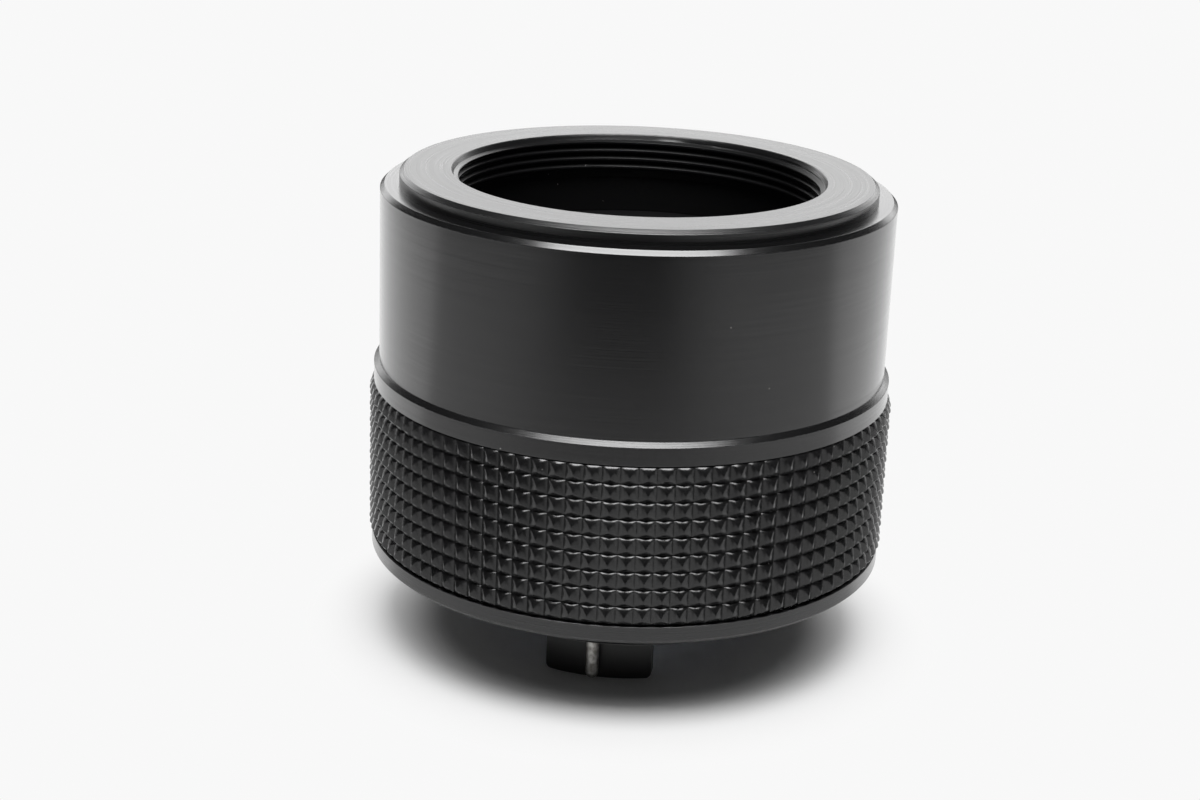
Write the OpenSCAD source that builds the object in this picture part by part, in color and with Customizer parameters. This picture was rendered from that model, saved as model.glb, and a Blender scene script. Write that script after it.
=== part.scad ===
// Camera teleconverter for 42 mm screw-mount lenses, standing on its rear guard.
// The optical axis is Z, the lens side is up, and the diaphragm pin faces -Y.

/* [Mount threads] */
// Nominal diameter of the lens thread and of the camera thread
thread_d = 42; // [37:0.5:48]
// Pitch of both threads
thread_pitch = 1; // [0.75:0.05:1.25]

/* [Barrel] */
// Step from the threads' nominal circle out to the smooth barrel
body_wall = 8.2; // [7.2:0.1:9.6]
// Height of the smooth barrel, from the grip's bevel to the front shoulder
barrel_h = 20.3; // [16:0.1:30]
// Wall of the barrel behind its smooth face
barrel_wall = 1.8; // [1.2:0.1:2.4]
// Chamfer on the barrel's front edge
barrel_chamfer = 0.5; // [0.2:0.1:0.8]
// Thickness of the web under the front shoulder
web_t = 2.4; // [1.5:0.1:4]
// Wall of the skirt that the grip ring slides over
skirt_wall = 1.6; // [1.2:0.1:2.2]
// Height of the foot inside the skirt that the rear screws bite into
foot_h = 3.4; // [2.5:0.1:6]

/* [Grip] */
// Step from the barrel out to the tips of the rubber
tip_step = 1.1; // [0.9:0.05:1.4]
// Height of the channel that the rubber lies in
channel_h = 18.1; // [14:0.1:24]
// Rows of pyramids, one above another
grip_rows = 9; // [7:1:12]
// Columns of pyramids round the grip
grip_columns = 96; // [72:4:120]
// Turn of the first column away from the front
grip_turn = 0.7; // [0:0.05:3.75]
// Height of a pyramid
pyramid_h = 0.9; // [0.6:0.05:1.1]
// Rubber left under the valleys
rubber_t = 0.5; // [0.3:0.05:0.6]
// Gap between the rubber and each end of its channel
rubber_gap = 0.12; // [0.05:0.01:0.3]
// Metal behind the channel
channel_wall = 0.9; // [0.7:0.1:1.3]
// Step from the barrel out to the band above the rubber
band_step = 0.6; // [0.4:0.05:0.9]
// Height of the band
band_h = 2.05; // [1.2:0.05:4]
// Height of the bevel between the band and the barrel
bevel_h = 0.48; // [0.3:0.02:1]

/* [Front mount] */
// Width of the barrel's shoulder round the raised front face
shoulder_w = 2.15; // [1.8:0.05:2.6]
// Height of the front face above the shoulder
face_h = 1.6; // [1:0.1:3]
// Chamfer round the front face
face_chamfer = 0.45; // [0.2:0.05:0.9]
// Width of the chamfer that leads into the lens thread
lead_in = 0.8; // [0.5:0.05:1.1]
// Length of the lens thread, below its lead-in
lens_thread_h = 3.6; // [2.5:0.1:5]
// Depth of the lens recess, from the front face to the cell's flange
recess_h = 9.6; // [9.2:0.1:14]
// Relief cut behind the lens thread, past its nominal radius
relief = 0.4; // [0.2:0.1:0.8]
// Wall of the spigot that enters the barrel
front_spigot_wall = 3; // [2.4:0.1:3.6]

/* [Rear mount] */
// Step from the barrel out to the rim below the rubber
rim_step = 0.8; // [0.6:0.05:1.1]
// Height of the rim
rim_h = 2.05; // [1.8:0.05:4]
// Chamfer round the rim's underside
rim_chamfer = 0.45; // [0.2:0.05:0.8]
// Length of the camera thread below the rim
stub_h = 4.5; // [3.5:0.1:6]
// Wall of the camera thread's stub
stub_wall = 1.4; // [1:0.1:1.8]
// Chamfer on the end of the camera thread
stub_chamfer = 0.4; // [0.2:0.05:0.8]
// Thickness of the web inside the rear mount
rear_web_t = 3.6; // [3:0.1:4.4]
// Height of the spigot that centres the rear mount in the barrel's foot
rear_spigot_h = 2.6; // [1.5:0.1:3.2]
// Wall of that spigot
rear_spigot_wall = 1.5; // [1:0.1:2]

/* [Rear guard] */
// Tabs on the guard
tab_count = 3; // [3:1:4]
// Angle that one tab covers
tab_angle = 42.4; // [30:0.2:50]
// Direction of the front tab's middle, from the front towards +X
tab_turn = -8.3; // [-12:0.1:12]
// Step from the pin's circle in to the tabs
tab_gap = 1.5; // [1.2:0.05:1.8]
// Thickness of a tab
tab_t = 1.4; // [1:0.1:1.8]
// Reach of the tabs past the camera thread
tab_reach = 5.9; // [4:0.1:8]
// Radius at a tab's corners
tab_corner = 0.6; // [0.3:0.1:1.5]
// Thickness of the guard's ring
guard_t = 1.4; // [1:0.1:1.8]
// Lip of the guard's ring inside the tabs
guard_lip = 0.3; // [0.2:0.1:0.6]

/* [Diaphragm plunger] */
// Step from the threads' nominal circle in to the pin's circle
pin_inset = 2.7; // [2.5:0.05:2.9]
// Direction of the pin, from the front towards +X
pin_turn = -9.3; // [-12:0.1:12]
// Diameter of the pin
pin_d = 1.45; // [1:0.05:1.6]
// How far the pin's tip stays short of the tabs
pin_short = 0.6; // [0.2:0.1:1.5]
// Depth of the pin in the end of its rod
pin_socket = 5; // [3:0.5:8]
// Diameter of the transfer rod
rod_d = 2.4; // [2:0.1:2.6]
// Length of the rod below the spring's clip
rod_tail = 4; // [2:0.5:6]
// Thickness of the push plate
plate_t = 1.2; // [0.8:0.1:1.6]
// Width of the push plate, across its arc
plate_w = 3.4; // [3:0.1:3.6]
// Angle that the push plate covers
plate_angle = 52; // [46:1:70]
// Gap under the push plate at rest
plate_lift = 0.2; // [0.1:0.05:0.4]
// Diameter of the tenons that rivet the rods to the plate
tenon_d = 1.2; // [0.8:0.1:1.4]
// Diameter of the guide rod
guide_d = 1.8; // [1.6:0.1:2.2]
// Angle from the pin to the guide rod
guide_turn = 17; // [16:0.5:18]
// Length of the guide rod below the plate
guide_l = 9; // [6:0.5:14]
// Wall of the bushes
bush_wall = 0.7; // [0.5:0.1:0.9]
// Height and overhang of the rear bush's collar
bush_collar = 0.6; // [0.4:0.1:0.9]
// Installed length of the return spring
spring_l = 12.4; // [10:0.2:16]
// Wire of the return spring
spring_wire = 0.45; // [0.35:0.05:0.55]
// Turns of the return spring
spring_turns = 8; // [6:1:10]
// Thickness of the spring's clip
clip_t = 0.7; // [0.5:0.1:1]
// Width of the clip past the rod
clip_w = 1.3; // [1:0.1:1.4]

/* [Lens cell] */
// Step from the tabs in to the cell's tube
cell_gap = 1.3; // [1.1:0.05:1.6]
// Thickness of the flange that hangs the cell from the front mount
flange_t = 2; // [1.6:0.1:3]
// Wall of the cell round the front glass
front_cell_wall = 3; // [2:0.1:4]
// Wall of the cell round the rear glass
rear_cell_wall = 1.9; // [1.2:0.1:3]
// Ledge that seats the front group, round the clear bore between the groups
stop_ledge = 2; // [1.8:0.1:3]
// Distance that the retaining rings lie below the cell's ends
retainer_sink = 0.5; // [0.3:0.1:1]
// Height of the retaining rings
retainer_h = 1.6; // [1.2:0.1:2]
// Width of a spanner slot in a retaining ring
slot_w = 1.2; // [0.8:0.1:1.6]
// Depth of a spanner slot
slot_h = 0.7; // [0.4:0.1:0.9]
// Flat rim round each glass
land = 1.6; // [1.2:0.1:1.8]

/* [Glass] */
// Edge of the front crown
crown_edge = 1.2; // [0.8:0.1:2]
// Bulge of the front crown's outer face
crown_bulge = 1; // [0.6:0.1:1.5]
// Bulge of the crown's cemented face into the flint
cement_bulge = 1.7; // [1:0.1:2]
// Edge of the flint cemented behind the crown
flint_edge = 5.2; // [4.8:0.1:6]
// Hollow of the flint's rear face
flint_hollow = 2; // [1:0.1:2.4]
// Air between the flint and the middle glass, along the rim
front_air = 2.6; // [1.5:0.1:4]
// Edge of the middle glass
middle_edge = 4.4; // [4:0.1:5.5]
// Hollow of both faces of the middle glass
middle_hollow = 1.5; // [0.8:0.1:1.8]
// Edge of the meniscus behind the stop
meniscus_edge = 2.6; // [2:0.1:4]
// Hollow of the meniscus's front face
meniscus_hollow = 1.2; // [0.6:0.1:1.4]
// Bulge of the meniscus's rear face
meniscus_bulge = 2.3; // [1.4:0.1:2.5]
// Air between the meniscus and the rear glass, along the rim
rear_air = 4.6; // [4.3:0.1:6]
// Edge of the rear glass
rear_edge = 1.4; // [1:0.1:2]
// Bulge of both faces of the rear glass
rear_bulge = 1.6; // [1:0.1:1.7]
// Cement between the crown and the flint
cement_t = 0.02; // [0.01:0.01:0.05]

/* [Screws and fits] */
// Number of rear mount screws
rear_screw_count = 4; // [3:1:6]
// Direction of the first rear mount screw, from the front towards +X
rear_screw_turn = 45; // [0:5:90]
// Diameter of the rear mount screws
rear_screw_d = 2; // [1.6:0.1:2.2]
// Depth of their countersunk heads
rear_head_h = 1.1; // [0.8:0.1:1.4]
// Length of the rear mount screws
rear_screw_l = 4.6; // [3.5:0.1:5]
// Number of small screws in the guard and in the cell's flange
small_screw_count = 3; // [2:1:4]
// Diameter of the small screws
small_screw_d = 1.4; // [1.2:0.1:1.6]
// Diameter of their pan heads
small_head_d = 2.5; // [2.2:0.1:2.6]
// Height of their pan heads
small_head_h = 0.9; // [0.6:0.1:1.2]
// Length of the small screws, under the head
small_screw_l = 3.6; // [3:0.1:4.4]
// Radial play where turned pieces slip together
fit = 0.03; // [0.02:0.01:0.05]
// Radial play of the sliding rods in their bushes
running = 0.06; // [0.03:0.01:0.09]
// Radial play round the pin where it passes the guard
pin_play = 0.4; // [0.3:0.1:0.5]

/* [Hidden] */
$fn = 96;
// Facets of a full turn on the glass's shallow domes
dome_fn = 240;
// Steps round a corner of a flat outline
corner_steps = 5;
// Height of a 60 degree thread's crest over its root, as a share of the pitch
crest_share = 0.541;
// Extra length that carries a cut clear of a face
over = 1;

// Levels up the axis, from the surface that the tabs stand on
stub_z = tab_reach;
seat_z = stub_z + stub_h;
rim_z = seat_z + rim_h;
band_z = rim_z + channel_h;
bevel_z = band_z + band_h;
barrel_z = bevel_z + bevel_h;
shoulder_z = barrel_z + barrel_h;
top_z = shoulder_z + face_h;
ledge_z = top_z - recess_h;
flange_z = ledge_z - flange_t;
rear_web_z = rim_z - rear_web_t;
guard_z = rear_web_z - guard_t;
cell_end_z = rear_web_z + running;
rubber_low = rim_z + rubber_gap;
rubber_high = band_z - rubber_gap;
row_h = (rubber_high - rubber_low) / grip_rows;

// Radii of the sleeves, from the barrel out and then from the rubber in
thread_r = thread_d / 2;
barrel_r = thread_r + body_wall;
barrel_bore_r = barrel_r - barrel_wall;
face_r = barrel_r - shoulder_w;
band_r = barrel_r + band_step;
rim_r = barrel_r + rim_step;
tip_r = barrel_r + tip_step;
valley_r = tip_r - pyramid_h;
rubber_r = valley_r - rubber_t;
channel_r = rubber_r - fit;
grip_bore_r = channel_r - channel_wall;
skirt_r = grip_bore_r - fit;
skirt_bore_r = skirt_r - skirt_wall;

// Radii of the two mounts
lens_wall_r = thread_r - crest_share * thread_pitch;
relief_r = thread_r + relief;
front_spigot_r = relief_r + front_spigot_wall;
stub_bore_r = thread_r - stub_wall;
rear_spigot_r = relief_r + rear_spigot_wall;
foot_bore_r = rear_spigot_r + fit;
rear_screw_r = (foot_bore_r + skirt_r) / 2;
cell_screw_r = (relief_r + front_spigot_r) / 2;

// Radii of the guard and of the cell, from the pin's circle inwards
pin_circle_r = thread_r - pin_inset;
tab_r = pin_circle_r - tab_gap;
guard_r = stub_bore_r - fit;
guard_screw_r = (tab_r + guard_r) / 2;
cell_r = tab_r - cell_gap;
cell_seat_r = cell_r + fit;
front_bore_r = cell_r - front_cell_wall;
rear_bore_r = cell_r - rear_cell_wall;
stop_r = front_bore_r - stop_ledge;

// Glass stacks: the front one rises from its seat, the rear one hangs from its own
front_glass_r = front_bore_r - fit;
rear_glass_r = rear_bore_r - fit;
front_clear_r = front_glass_r - land;
rear_clear_r = rear_glass_r - land;
crown_top = ledge_z - retainer_sink - retainer_h;
flint_top = crown_top - crown_edge - cement_t;
front_spacer_top = flint_top - flint_edge;
middle_top = front_spacer_top - front_air;
front_seat = middle_top - middle_edge;
rear_glass_low = cell_end_z + retainer_sink + retainer_h;
rear_spacer_low = rear_glass_low + rear_edge;
meniscus_low = rear_spacer_low + rear_air;
rear_seat = meniscus_low + meniscus_edge;

// Plunger levels at rest, and the radii of its bushes and spring
plate_z = ledge_z + plate_lift;
clip_z = flange_z - spring_l - clip_t;
rod_end = clip_z - rod_tail;
spring_r = rod_d / 2 + running + spring_wire;
rod_bush_r = rod_d / 2 + running + bush_wall;
guide_bush_r = guide_d / 2 + running + bush_wall;
pin_bush_r = pin_d / 2 + running + bush_wall;

black = [0.09, 0.09, 0.1];
dark_grey = [0.2, 0.2, 0.21];
steel = [0.72, 0.72, 0.7];
brass = [0.78, 0.62, 0.3];
glass_tint = [0.55, 0.65, 0.75, 0.5];

// Ring of one profile: r and z of each corner
module turned(profile) {
    rotate_extrude() polygon(profile);
}

// Plain ring between two radii and two levels
module ring(inner, outer, low, high) {
    turned([[inner, low], [outer, low], [outer, high], [inner, high]]);
}

// Places a child on a circle round the axis, turned from the front towards +X
module on_circle(turn, radius) {
    rotate([0, 0, turn]) translate([0, -radius, 0]) children();
}

// Places copies of a child evenly round the axis
module around(count, turn, radius) {
    for (i = [0 : count - 1]) on_circle(turn + i * 360 / count, radius) children();
}

// Rod along Z between two levels
module rod(radius, low, high) {
    translate([0, 0, low]) cylinder(h = high - low, r = radius);
}

// Sleeve with the smooth face, the web for the front mount, and the skirt and foot inside the grip
module barrel() {
    color(black) difference() {
        turned([
            [foot_bore_r, rim_z], [skirt_r, rim_z], [skirt_r, barrel_z], [barrel_r, barrel_z],
            [barrel_r, shoulder_z - barrel_chamfer], [barrel_r - barrel_chamfer, shoulder_z],
            [front_spigot_r + fit, shoulder_z], [front_spigot_r + fit, shoulder_z - web_t],
            [barrel_bore_r, shoulder_z - web_t], [barrel_bore_r, barrel_z + barrel_wall],
            [skirt_bore_r, barrel_z + barrel_wall], [skirt_bore_r, rim_z + foot_h],
            [foot_bore_r, rim_z + foot_h]
        ]);
        around(rear_screw_count, rear_screw_turn, rear_screw_r)
            rod(rear_screw_d / 2 + fit, rim_z - over, rim_z + foot_h + over);
    }
}

// Ring that carries the rubber: a channel below, the band and its bevel above
module grip_ring() {
    color(black) turned([
        [grip_bore_r, rim_z], [channel_r, rim_z], [channel_r, band_z], [band_r, band_z],
        [band_r, bevel_z], [barrel_r, barrel_z], [grip_bore_r, barrel_z]
    ]);
}

// Corner of the rubber's outer net on column line i and row line j
function net_point(i, j) =
    let (turn = grip_turn + (i - 0.5) * 360 / grip_columns)
    [valley_r * sin(turn), -valley_r * cos(turn), rubber_low + j * row_h];
// Tip of the pyramid in column i and row j
function tip_point(i, j) =
    let (turn = grip_turn + i * 360 / grip_columns)
    [tip_r * sin(turn), -tip_r * cos(turn), rubber_low + (j + 0.5) * row_h];
// Corner of the rubber's bore, whose flats clear the channel's floor
function bore_point(i, level) =
    let (turn = grip_turn + (i - 0.5) * 360 / grip_columns, r = rubber_r / cos(180 / grip_columns))
    [r * sin(turn), -r * cos(turn), level];

// Moulded rubber strip: rows and columns of square pyramids on a thin backing
module grip_rubber() {
    n = grip_columns;
    tips = n * (grip_rows + 1);
    bores = tips + n * grip_rows;
    function net(i, j) = j * n + i % n;
    function tip(i, j) = tips + j * n + i;
    function low(i) = bores + i % n;
    function high(i) = bores + n + i % n;
    points = concat(
        [for (j = [0 : grip_rows], i = [0 : n - 1]) net_point(i, j)],
        [for (j = [0 : grip_rows - 1], i = [0 : n - 1]) tip_point(i, j)],
        [for (level = [rubber_low, rubber_high], i = [0 : n - 1]) bore_point(i, level)]
    );
    pyramids = [
        for (j = [0 : grip_rows - 1], i = [0 : n - 1])
            let (ring = [net(i, j), net(i, j + 1), net(i + 1, j + 1), net(i + 1, j)])
            for (k = [0 : 3]) [ring[k], ring[(k + 1) % 4], tip(i, j)]
    ];
    backing = [
        for (i = [0 : n - 1])
            each [
                [low(i), low(i + 1), high(i + 1)], [low(i), high(i + 1), high(i)],
                [low(i), net(i, 0), net(i + 1, 0)], [low(i), net(i + 1, 0), low(i + 1)],
                [high(i), net(i + 1, grip_rows), net(i, grip_rows)],
                [high(i), high(i + 1), net(i + 1, grip_rows)]
            ]
    ];
    color(dark_grey) polyhedron(points, concat(pyramids, backing));
}

// Front mount: the raised face, the lens thread at its crests, and the spigot down to the cell
module front_mount() {
    thread_top = top_z - lead_in;
    thread_low = thread_top - lens_thread_h;
    run_out = relief_r - lens_wall_r;
    color(black) difference() {
        turned([
            [relief_r, ledge_z], [front_spigot_r, ledge_z], [front_spigot_r, shoulder_z],
            [face_r, shoulder_z], [face_r, top_z - face_chamfer], [face_r - face_chamfer, top_z],
            [lens_wall_r + lead_in, top_z], [lens_wall_r, thread_top], [lens_wall_r, thread_low],
            [relief_r, thread_low - run_out]
        ]);
        around(small_screw_count, tab_turn, cell_screw_r)
            rod(small_screw_d / 2 + fit, ledge_z - over, flange_z + small_screw_l + over);
    }
}

// Rear mount: the rim, the camera thread's stub, the inner web and the centring spigot
module rear_mount() {
    color(black) difference() {
        turned([
            [cell_seat_r, rear_web_z], [stub_bore_r, rear_web_z], [stub_bore_r, stub_z],
            [thread_r - stub_chamfer, stub_z], [thread_r, stub_z + stub_chamfer], [thread_r, seat_z],
            [rim_r - rim_chamfer, seat_z], [rim_r, seat_z + rim_chamfer], [rim_r, rim_z],
            [rear_spigot_r, rim_z], [rear_spigot_r, rim_z + rear_spigot_h],
            [relief_r, rim_z + rear_spigot_h], [relief_r, rim_z], [cell_seat_r, rim_z]
        ]);
        around(rear_screw_count, rear_screw_turn, rear_screw_r) {
            rod(rear_screw_d / 2 + fit, seat_z - over, rim_z + over);
            rear_screw_head(fit);
        }
        around(small_screw_count, tab_turn + 180 / tab_count, guard_screw_r)
            rod(small_screw_d / 2 + fit, rear_web_z - over, guard_z + small_screw_l + over);
        on_circle(pin_turn, pin_circle_r) rod(pin_bush_r + fit, rear_web_z - over, rim_z + over);
    }
}

// Countersunk head of a rear mount screw, grown by the play around it
module rear_screw_head(play) {
    translate([0, 0, seat_z])
        cylinder(h = rear_head_h, r1 = rear_screw_d / 2 + rear_head_h + play, r2 = rear_screw_d / 2 + play);
}

// Countersunk screws from the camera side into the barrel's foot
module rear_mount_screws() {
    color(black) around(rear_screw_count, rear_screw_turn, rear_screw_r) {
        rear_screw_head(0);
        rod(rear_screw_d / 2, seat_z, seat_z + rear_screw_l);
    }
}

// Outline of a tab seen from outside, with its round lower corners
function tab_outline(half, corner, high) = concat(
    [[half, high]],
    [for (k = [0 : corner_steps])
        let (turn = 90 * k / corner_steps)
        [half - corner + corner * cos(turn), corner - corner * sin(turn)]],
    [for (k = [0 : corner_steps])
        let (turn = 90 + 90 * k / corner_steps)
        [corner - half + corner * cos(turn), corner - corner * sin(turn)]],
    [[-half, high]]
);

// Wall of one guard tab, from its lower edge up into the ring
module guard_tab() {
    half = tab_r * sin(tab_angle / 2);
    root = guard_z + guard_t / 2;
    intersection() {
        ring(tab_r - tab_t, tab_r, 0, root);
        rotate([90, 0, 0]) linear_extrude(height = tab_r + over)
            polygon(tab_outline(half, tab_corner, root + over));
    }
}

// Guard ring inside the stub, with the tabs that shield the pin and the rear glass
module rear_guard() {
    color(black) difference() {
        union() {
            ring(tab_r - tab_t - guard_lip, guard_r, guard_z, rear_web_z);
            around(tab_count, tab_turn, 0) guard_tab();
        }
        around(small_screw_count, tab_turn + 180 / tab_count, guard_screw_r)
            rod(small_screw_d / 2 + fit, guard_z - over, rear_web_z + over);
        on_circle(pin_turn, pin_circle_r) rod(pin_d / 2 + pin_play, guard_z - over, rear_web_z + over);
    }
}

// Pan-head screw, its head under the level that it holds
module small_screw(level) {
    rod(small_head_d / 2, level - small_head_h, level);
    rod(small_screw_d / 2, level, level + small_screw_l);
}

// Screws that hold the guard to the rear mount's web
module rear_guard_screws() {
    color(steel) around(small_screw_count, tab_turn + 180 / tab_count, guard_screw_r) small_screw(guard_z);
}

// Lens cell: one turned tube with a flange in front, stepped bores and a stop between the groups
module lens_cell() {
    color(black) difference() {
        turned([
            [rear_bore_r, cell_end_z], [cell_r, cell_end_z], [cell_r, flange_z],
            [front_spigot_r, flange_z], [front_spigot_r, ledge_z], [front_bore_r, ledge_z],
            [front_bore_r, front_seat], [stop_r, front_seat], [stop_r, rear_seat],
            [rear_bore_r, rear_seat]
        ]);
        on_circle(pin_turn, pin_circle_r) rod(rod_bush_r + fit, flange_z - over, ledge_z + over);
        on_circle(pin_turn + guide_turn, pin_circle_r)
            rod(guide_bush_r + fit, flange_z - over, ledge_z + over);
        around(small_screw_count, tab_turn, cell_screw_r)
            rod(small_screw_d / 2 + fit, flange_z - over, ledge_z + over);
    }
}

// Screws that hang the cell's flange from the front mount
module lens_cell_screws() {
    color(steel) around(small_screw_count, tab_turn, cell_screw_r) small_screw(flange_z);
}

// Radius of the sphere whose cap of the given depth covers the clear part of a glass
function curve(depth, clear_r) = (clear_r * clear_r + depth * depth) / (2 * depth);

// Cap that bulges up from a level
module cap(depth, clear_r, level) {
    intersection() {
        translate([0, 0, level + depth - curve(depth, clear_r)])
            sphere(r = curve(depth, clear_r), $fn = dome_fn);
        rod(clear_r, level - over, level + depth + over);
    }
}

// Cap that bulges down from a level
module cap_below(depth, clear_r, level) {
    translate([0, 0, level]) mirror([0, 0, 1]) cap(depth, clear_r, 0);
}

// Front glass, bulging both ways
module front_crown() {
    color(glass_tint) union() {
        rod(front_glass_r, crown_top - crown_edge, crown_top);
        cap(crown_bulge, front_clear_r, crown_top);
        cap_below(cement_bulge, front_clear_r, crown_top - crown_edge);
    }
}

// Hollow glass cemented behind the crown
module front_flint() {
    color(glass_tint) difference() {
        rod(front_glass_r, front_spacer_top, flint_top);
        cap_below(cement_bulge, front_clear_r, flint_top);
        cap(flint_hollow, front_clear_r, front_spacer_top);
    }
}

// Ring between the flint and the middle glass
module front_spacer() {
    color(black) ring(front_clear_r, front_glass_r, middle_top, front_spacer_top);
}

// Glass hollow on both faces, on the cell's ledge
module middle_glass() {
    color(glass_tint) difference() {
        rod(front_glass_r, front_seat, middle_top);
        cap_below(middle_hollow, front_clear_r, middle_top);
        cap(middle_hollow, front_clear_r, front_seat);
    }
}

// Retaining ring between two levels, with spanner slots cut from one of them
module retainer(outer, low, high, slot_low) {
    difference() {
        ring(outer - land, outer, low, high);
        translate([-outer - over, -slot_w / 2, slot_low]) cube([2 * (outer + over), slot_w, slot_h + over]);
    }
}

// Ring that clamps the front group
module front_retainer() {
    color(black) retainer(front_glass_r, crown_top, crown_top + retainer_h, crown_top + retainer_h - slot_h);
}

// Glass behind the stop, hollow in front and bulging behind
module rear_meniscus() {
    color(glass_tint) difference() {
        union() {
            rod(rear_glass_r, meniscus_low, rear_seat);
            cap_below(meniscus_bulge, rear_clear_r, meniscus_low);
        }
        cap_below(meniscus_hollow, rear_clear_r, rear_seat);
    }
}

// Ring between the meniscus and the rear glass
module rear_spacer() {
    color(black) ring(rear_clear_r, rear_glass_r, rear_spacer_low, meniscus_low);
}

// Rear glass, bulging both ways
module rear_glass() {
    color(glass_tint) union() {
        rod(rear_glass_r, rear_glass_low, rear_spacer_low);
        cap(rear_bulge, rear_clear_r, rear_spacer_low);
        cap_below(rear_bulge, rear_clear_r, rear_glass_low);
    }
}

// Ring that clamps the rear group
module rear_retainer() {
    color(black)
        retainer(rear_glass_r, rear_glass_low - retainer_h, rear_glass_low, rear_glass_low - retainer_h - over);
}

// Bush for the transfer rod, pressed into the cell's flange
module rod_bush() {
    color(brass) on_circle(pin_turn, pin_circle_r) ring(rod_d / 2 + running, rod_bush_r, flange_z, ledge_z);
}

// Bush for the guide rod, pressed into the cell's flange
module guide_bush() {
    color(brass) on_circle(pin_turn + guide_turn, pin_circle_r)
        ring(guide_d / 2 + running, guide_bush_r, flange_z, ledge_z);
}

// Collared bush pressed into the rear web
module pin_bush() {
    bore = pin_d / 2 + running;
    color(brass) on_circle(pin_turn, pin_circle_r) turned([
        [bore, rear_web_z], [pin_bush_r, rear_web_z], [pin_bush_r, rim_z],
        [pin_bush_r + bush_collar, rim_z], [pin_bush_r + bush_collar, rim_z + bush_collar],
        [bore, rim_z + bush_collar]
    ]);
}

// Return spring round the transfer rod, as one wire swept along a helix
module return_spring() {
    sides = 6;
    steps = 12;
    low = clip_z + clip_t + spring_wire / 2;
    high = flange_z - spring_wire / 2;
    count = spring_turns * steps;
    rise = (high - low) / spring_turns;
    lean = atan2(rise, 2 * PI * spring_r);
    function wire_point(i, k) =
        let (turn = i * 360 / steps, around_wire = k * 360 / sides, w = spring_wire / 2)
        let (out = w * cos(around_wire), up = w * sin(around_wire))
        [
            (spring_r + out) * cos(turn) + up * sin(lean) * sin(turn),
            (spring_r + out) * sin(turn) - up * sin(lean) * cos(turn),
            low + rise * i / steps + up * cos(lean)
        ];
    points = [for (i = [0 : count], k = [0 : sides - 1]) wire_point(i, k)];
    function corner(i, k) = i * sides + k % sides;
    tube = [
        for (i = [0 : count - 1], k = [0 : sides - 1])
            each [
                [corner(i, k), corner(i + 1, k), corner(i + 1, k + 1)],
                [corner(i, k), corner(i + 1, k + 1), corner(i, k + 1)]
            ]
    ];
    ends = [
        for (k = [1 : sides - 2])
            each [
                [corner(0, 0), corner(0, k), corner(0, k + 1)],
                [corner(count, 0), corner(count, k + 1), corner(count, k)]
            ]
    ];
    echo(least_gap_between_turns = rise * cos(lean) - spring_wire);
    color(steel) on_circle(pin_turn, pin_circle_r) polyhedron(points, concat(tube, ends));
}

// Wedge about the axis, its middle towards the front
module wedge(angle, reach, low, high) {
    translate([0, 0, low]) linear_extrude(height = high - low)
        polygon(concat([[0, 0]], [for (side = [-0.5, 0, 0.5]) reach * [sin(side * angle), -cos(side * angle)]]));
}

// Arc plate in the lens recess that presses the lens's own pin
module push_plate() {
    high = plate_z + plate_t;
    color(dark_grey) difference() {
        intersection() {
            ring(pin_circle_r - plate_w / 2, pin_circle_r + plate_w / 2, plate_z, high);
            rotate([0, 0, pin_turn]) wedge(plate_angle, 2 * pin_circle_r, plate_z - over, high + over);
        }
        for (turn = [0, guide_turn]) on_circle(pin_turn + turn, pin_circle_r)
            rod(tenon_d / 2 + fit, plate_z - over, high + over);
    }
}

// Rod from the push plate down to the pin, with a tenon on top and a socket below
module transfer_rod() {
    color(steel) on_circle(pin_turn, pin_circle_r) difference() {
        union() {
            rod(rod_d / 2, rod_end, plate_z);
            rod(tenon_d / 2, plate_z, plate_z + plate_t);
        }
        rod(pin_d / 2 + fit, rod_end - over, rod_end + pin_socket);
    }
}

// Second rod, which keeps the push plate from turning
module guide_rod() {
    color(steel) on_circle(pin_turn + guide_turn, pin_circle_r) {
        rod(guide_d / 2, plate_z - guide_l, plate_z);
        rod(tenon_d / 2, plate_z, plate_z + plate_t);
    }
}

// Rear pin with a round tip, held in the rod's socket
module aperture_pin() {
    color(steel) on_circle(pin_turn, pin_circle_r) {
        translate([0, 0, pin_short + pin_d / 2]) sphere(d = pin_d);
        rod(pin_d / 2, pin_short + pin_d / 2, rod_end + pin_socket);
    }
}

// Clip on the rod that the return spring presses on
module spring_clip() {
    color(steel) on_circle(pin_turn, pin_circle_r) ring(rod_d / 2 + fit, rod_d / 2 + clip_w, clip_z, clip_z + clip_t);
}

barrel();
grip_ring();
grip_rubber();
front_mount();
rear_mount();
rear_mount_screws();
rear_guard();
rear_guard_screws();
lens_cell();
lens_cell_screws();
front_crown();
front_flint();
front_spacer();
middle_glass();
front_retainer();
rear_meniscus();
rear_spacer();
rear_glass();
rear_retainer();
rod_bush();
guide_bush();
pin_bush();
return_spring();
push_plate();
transfer_rod();
guide_rod();
aperture_pin();
spring_clip();
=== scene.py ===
import bpy
import numpy as np
from mathutils import Matrix


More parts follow.
